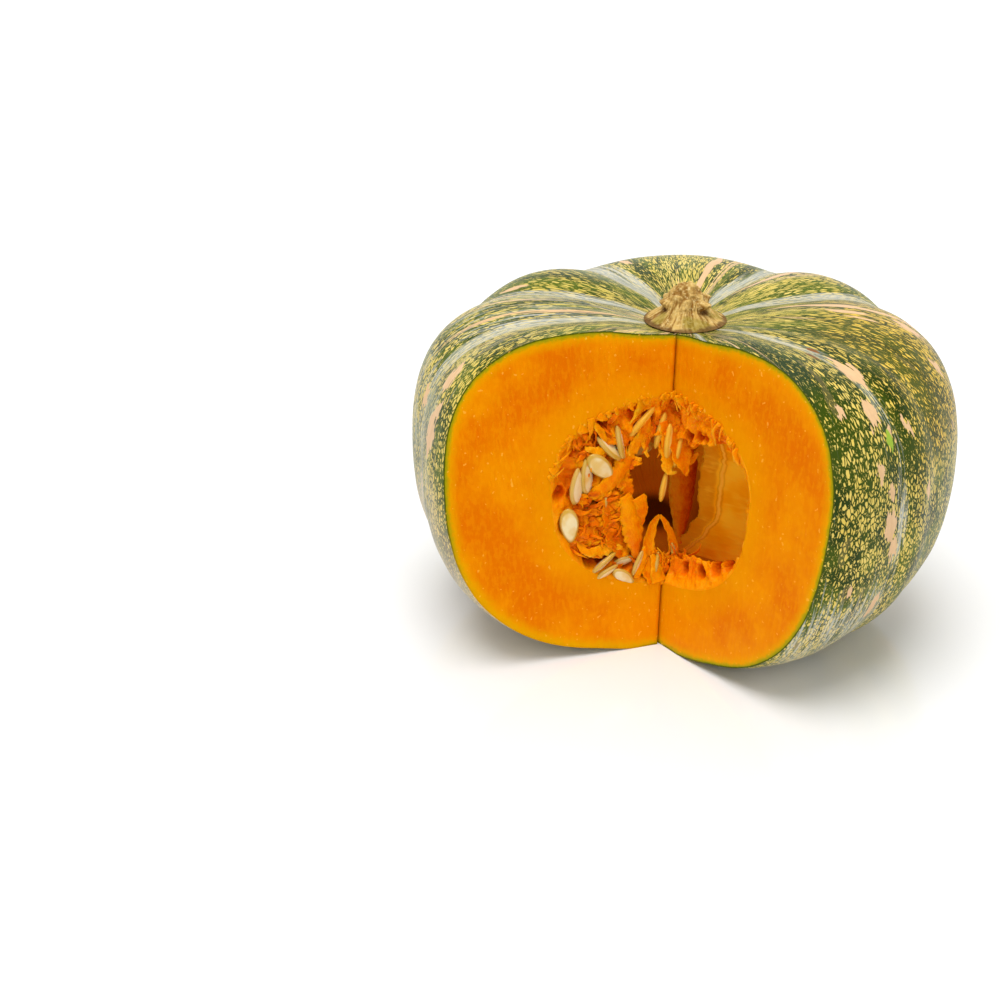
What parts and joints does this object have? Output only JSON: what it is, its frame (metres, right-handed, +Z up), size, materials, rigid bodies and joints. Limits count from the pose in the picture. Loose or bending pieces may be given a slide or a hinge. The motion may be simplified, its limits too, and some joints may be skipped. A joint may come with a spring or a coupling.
{
  "type": "cut pumpkin",
  "caption": "Ribbed round pumpkin with a corky stem stub and one wide wedge cut away, showing thick flesh and a hollow seed cavity with stringy pulp and flat seeds.",
  "frame": {"origin": "on the table, under the middle of the whole fruit's outline, which is where its stem axis meets the table", "axes": "+Z up along the stem axis; the cut wedge opens towards +X and -Y, between -90 and +16 degrees round the axis from +X"},
  "size_m": [0.2374, 0.236, 0.1547],
  "materials": {
    "rind_and_flesh": "waxy speckled green rind over moist orange flesh on the knife faces",
    "stem_cork": "dry corky fibre",
    "pulp": "moist stringy pulp with cream seeds"
  },
  "bodies": {
    "root": {"flesh_and_rind": "rind_and_flesh", "stem": "stem_cork", "pulp_left": "pulp", "pulp_roof": "pulp", "pulp_floor": "pulp", "pulp_back": "pulp", "pulp_curtain_right": "pulp", "pulp_curtain_back": "pulp"}
  },
  "joints": []
}
